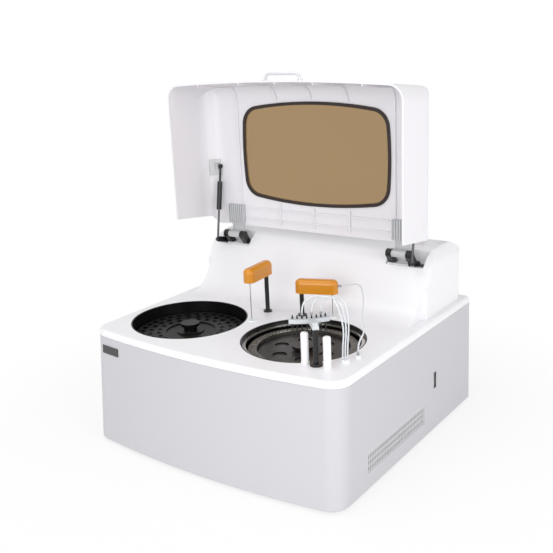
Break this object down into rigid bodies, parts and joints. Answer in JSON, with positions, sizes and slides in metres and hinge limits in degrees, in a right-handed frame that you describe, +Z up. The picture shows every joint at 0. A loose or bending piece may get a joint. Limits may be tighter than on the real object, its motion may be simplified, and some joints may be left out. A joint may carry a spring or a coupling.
{
  "type": "benchtop chemistry analyzer",
  "caption": "Benchtop analyzer with a raised hood lid, tinted window, two round wells with spinning trays, two swinging probe arms and a wash station.",
  "frame": {"origin": "middle of the footprint, on the bench surface that the feet stand on", "axes": "+Z up, +X to the operator's right, +Y towards the back; the lid stands open at rest"},
  "size_m": [0.724, 0.7137, 0.885],
  "materials": {
    "steel_pan": "zinc-grey sheet",
    "foot_rubber": "matt moulded rubber",
    "case_grey_white": "fine satin, cool white",
    "rear_sheet": "powder coat",
    "screw_steel": "zinc plated",
    "black_plastic": "satin",
    "vent_grey": "satin grey",
    "rocker_black": "glossy",
    "badge_black": "blank dark plate",
    "cover_white": "smooth white moulding",
    "board_green": "solder mask",
    "tub_black": "black moulding",
    "rim_metal": "turned metal",
    "motor_black": "satin",
    "spindle_steel": "turned",
    "tray_black": "black moulding",
    "disc_dark": "dark moulding",
    "cuvette_smoke": "smoky clear cuvettes",
    "column_black": "black anodised",
    "carriage_metal": "machined",
    "arm_orange": "orange moulding",
    "needle_steel": "polished",
    "white_plastic": "satin",
    "head_clear_white": "milky plastic",
    "wash_needle_dark": "dark steel",
    "clear_tube": "clear flexible tube",
    "lid_white": "smooth white moulding",
    "gasket_brown": "dark rubber",
    "window_amber": "tinted acrylic",
    "handle_white": "white coated wire",
    "bracket_white": "white coat",
    "ear_black": "black",
    "leaf_grey": "light grey",
    "rod_chrome": "chromed rod",
    "strut_black": "black coat"
  },
  "bodies": {
    "base": {"base_pan": "steel_pan", "rubber_feet": "foot_rubber", "lower_housing": "case_grey_white", "rear_panel": "rear_sheet", "rear_screws": "screw_steel", "mains_inlet": "black_plastic", "rear_ports": "black_plastic", "fan_frame": "black_plastic", "side_vent_grille": "vent_grey", "switch_bezel": "black_plastic", "badge_plate": "badge_black", "top_cover": "cover_white", "module_plate": "steel_pan", "plate_pillars": "screw_steel", "power_supply": "steel_pan", "control_board": "board_green", "sample_tub": "tub_black", "reaction_tub": "tub_black", "bath_rim_ring": "rim_metal", "sample_motor": "motor_black", "reaction_motor": "motor_black", "left_lift_frame": "column_black", "right_lift_frame": "column_black", "wash_pots": "white_plastic", "wash_guide": "column_black", "wash_bottles": "white_plastic", "tube_ports": "white_plastic", "hinge_plates": "bracket_white", "hinge_ears": "ear_black", "strut_floor_brackets": "ear_black"},
    "fan_rotor": {"fan_rotor": "black_plastic"},
    "power_rocker": {"power_rocker": "rocker_black"},
    "lid": {"lid_shell": "lid_white", "window_gasket": "gasket_brown", "window_pane": "window_amber", "lid_handle": "handle_white", "hinge_leaves": "leaf_grey", "strut_lid_brackets": "leaf_grey"},
    "strut_rod_left": {"strut_rod_left": "rod_chrome"},
    "strut_body_left": {"strut_body_left": "strut_black"},
    "strut_rod_right": {"strut_rod_right": "rod_chrome"},
    "strut_body_right": {"strut_body_right": "strut_black"},
    "left_carriage": {"left_lift_carriage": "carriage_metal"},
    "left_arm": {"left_arm_column": "column_black", "left_arm_cover": "arm_orange", "left_needle": "needle_steel"},
    "right_carriage": {"right_lift_carriage": "carriage_metal"},
    "right_arm": {"right_arm_column": "column_black", "right_arm_cover": "arm_orange", "right_needle": "needle_steel", "probe_tube": "clear_tube"},
    "sample_carousel": {"sample_tray": "tray_black", "sample_spindle": "spindle_steel"},
    "reaction_carousel": {"reaction_disc": "disc_dark", "cuvette_ring": "cuvette_smoke", "reaction_spindle": "spindle_steel"},
    "wash_head": {"wash_post": "column_black", "wash_head": "head_clear_white", "wash_needles": "wash_needle_dark", "wash_tubes": "clear_tube"}
  },
  "joints": [
    {"name": "lid_hinge", "type": "hinge", "parent": "base", "child": "lid", "pos_m": [0, 0.15, 0.442], "axis": [1, 0, 0], "range_deg": [0, 90]},
    {"name": "strut_turn_left", "type": "hinge", "parent": "base", "child": "strut_rod_left", "pos_m": [-0.3, 0.126, 0.428], "axis": [1, 0, 0], "range_deg": [0, 92]},
    {"name": "strut_slide_left", "type": "slide", "parent": "strut_rod_left", "child": "strut_body_left", "axis": [0, 0.1524, 0.9883], "range_m": [-0.04, 0]},
    {"name": "strut_turn_right", "type": "hinge", "parent": "base", "child": "strut_rod_right", "pos_m": [0.3, 0.126, 0.428], "axis": [1, 0, 0], "range_deg": [0, 92]},
    {"name": "strut_slide_right", "type": "slide", "parent": "strut_rod_right", "child": "strut_body_right", "axis": [0, 0.1524, 0.9883], "range_m": [-0.04, 0]},
    {"name": "left_lift", "type": "slide", "parent": "base", "child": "left_carriage", "axis": [0, 0, 1], "range_m": [-0.042, 0.004]},
    {"name": "left_swing", "type": "hinge", "parent": "left_carriage", "child": "left_arm", "pos_m": [-0.043, -0.001, 0.392], "axis": [0, 0, 1], "range_deg": [-50.61, 55]},
    {"name": "right_lift", "type": "slide", "parent": "base", "child": "right_carriage", "axis": [0, 0, 1], "range_m": [-0.045, 0.03], "deforming": ["probe_tube"]},
    {"name": "right_swing", "type": "hinge", "parent": "right_carriage", "child": "right_arm", "pos_m": [0.053, 0.014, 0.353], "axis": [0, 0, 1], "range_deg": [-114.72, 8], "deforming": ["probe_tube"]},
    {"name": "sample_spin", "type": "hinge", "parent": "base", "child": "sample_carousel", "pos_m": [-0.186, -0.141, 0.2], "axis": [0, 0, 1], "continuous": true},
    {"name": "reaction_spin", "type": "hinge", "parent": "base", "child": "reaction_carousel", "pos_m": [0.148, -0.126, 0.2], "axis": [0, 0, 1], "continuous": true},
    {"name": "wash_lift", "type": "slide", "parent": "base", "child": "wash_head", "axis": [0, 0, 1], "range_m": [-0.064, 0.01], "deforming": ["wash_tubes"]},
    {"name": "fan_spin", "type": "hinge", "parent": "base", "child": "fan_rotor", "pos_m": [0.205, 0.34, 0.18], "axis": [0, 1, 0], "continuous": true},
    {"name": "rocker_tilt", "type": "hinge", "parent": "base", "child": "power_rocker", "pos_m": [0.3531, 0.133, 0.137], "axis": [0, 1, 0], "range_deg": [-8, 8]}
  ],
  "couplings": [
    {"joint": "strut_turn_left", "follows": "lid_hinge", "ratio": 1.0158},
    {"joint": "strut_slide_left", "follows": "lid_hinge", "m_per_rad": -0.024847},
    {"joint": "strut_turn_right", "follows": "lid_hinge", "ratio": 1.0158},
    {"joint": "strut_slide_right", "follows": "lid_hinge", "m_per_rad": -0.024847}
  ]
}
